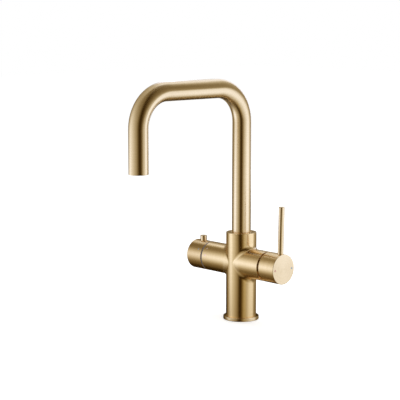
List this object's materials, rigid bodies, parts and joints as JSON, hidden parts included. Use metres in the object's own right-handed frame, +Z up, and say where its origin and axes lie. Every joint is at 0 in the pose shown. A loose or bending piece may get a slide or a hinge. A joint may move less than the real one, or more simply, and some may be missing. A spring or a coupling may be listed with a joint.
{
  "type": "boiling water tap",
  "caption": "Deck-mounted kitchen tap with a square U-shaped swivel spout, a side lever mixer and a push-and-turn knob for boiling water, in brushed gold.",
  "frame": {"origin": "centre of the fixing thread at the worktop face, under the middle of the body", "axes": "+Z up along the body, -Y towards the user and along the spout, +X to the mixer's side, -X to the boiling knob's side"},
  "size_m": [0.1829, 0.238, 0.3583],
  "materials": {
    "brushed_gold": "satin",
    "brushed_gold_pipe": "satin",
    "raw_brass": "satin",
    "stainless": "satin",
    "black_steel": "matte",
    "black_rubber": "matte",
    "white_plastic": "matte",
    "grey_plastic": "matte",
    "white_ceramic": "polished",
    "red_enamel": "gloss",
    "blue_enamel": "gloss",
    "grey_enamel": "gloss"
  },
  "bodies": {
    "tap_body": {"body": "brushed_gold", "base_ring": "brushed_gold", "deck_gasket": "black_rubber", "spout_slide_ring": "white_plastic", "spout_stop_screw": "black_steel", "inner_tube_o_ring": "black_rubber", "cartridge_seals": "black_rubber", "cartridge_base": "white_plastic", "cartridge_housing": "white_plastic", "mixer_fixed_disc": "white_ceramic", "cartridge_nut": "raw_brass", "dome_cover": "brushed_gold", "boil_valve_gasket": "black_rubber", "boil_valve_housing": "raw_brass", "boil_fixed_disc": "white_ceramic", "lock_ring": "raw_brass", "insulator_ring": "grey_plastic", "arm_index_dots": "red_enamel"},
    "spout": {"spout_tube": "brushed_gold_pipe", "swivel_stub": "raw_brass", "swivel_o_rings": "black_rubber", "boiling_inner_tube": "stainless", "outlet_sleeve": "brushed_gold", "aerator_insert": "white_plastic", "aerator_washer": "black_rubber", "boiling_nozzle": "stainless"},
    "turret": {"cartridge_turret": "white_plastic", "pivot_pin": "stainless"},
    "mixer_handle": {"lever_stem": "raw_brass", "mixer_knob": "brushed_gold", "handle_grub_screw": "black_steel", "mixer_lever": "brushed_gold", "hot_dot": "red_enamel", "cold_dot": "blue_enamel"},
    "disc_slider": {"disc_carrier": "white_plastic", "mixer_moving_disc": "white_ceramic"},
    "boiling_handle": {"boil_spindle": "raw_brass", "spindle_o_rings": "black_rubber", "spindle_clip": "stainless", "boil_moving_disc": "white_ceramic", "boil_knob": "brushed_gold", "knob_grub_screw": "black_steel", "boil_index_dot": "grey_enamel", "button_retainer": "raw_brass", "button_spring": "stainless"},
    "safety_button": {"lock_button": "brushed_gold"}
  },
  "joints": [
    {"name": "spout_swivel", "type": "hinge", "parent": "tap_body", "child": "spout", "pos_m": [0, 0, 0.1307], "axis": [0, 0, 1], "range_deg": [-75, 75]},
    {"name": "mixer_temperature", "type": "hinge", "parent": "tap_body", "child": "turret", "pos_m": [0.04002, 0, 0.086], "axis": [1, 0, 0], "range_deg": [-45, 45]},
    {"name": "mixer_flow", "type": "hinge", "parent": "turret", "child": "mixer_handle", "pos_m": [0.04002, 0, 0.086], "axis": [0, 1, 0], "range_deg": [0, 25]},
    {"name": "disc_slide", "type": "slide", "parent": "turret", "child": "disc_slider", "axis": [0, 0, 1], "range_m": [0, 0.0045]},
    {"name": "boil_knob_turn", "type": "hinge", "parent": "tap_body", "child": "boiling_handle", "pos_m": [-0.082, 0, 0.086], "axis": [1, 0, 0], "range_deg": [0, 90]},
    {"name": "safety_button_press", "type": "slide", "parent": "boiling_handle", "child": "safety_button", "axis": [0, 0, -1], "range_m": [0, 0.0025], "stiffness_N_per_m": 800, "springref_m": -0.0015, "deforming": ["button_spring"]}
  ],
  "couplings": [
    {"joint": "disc_slide", "follows": "mixer_flow", "m_per_rad": 0.01}
  ]
}
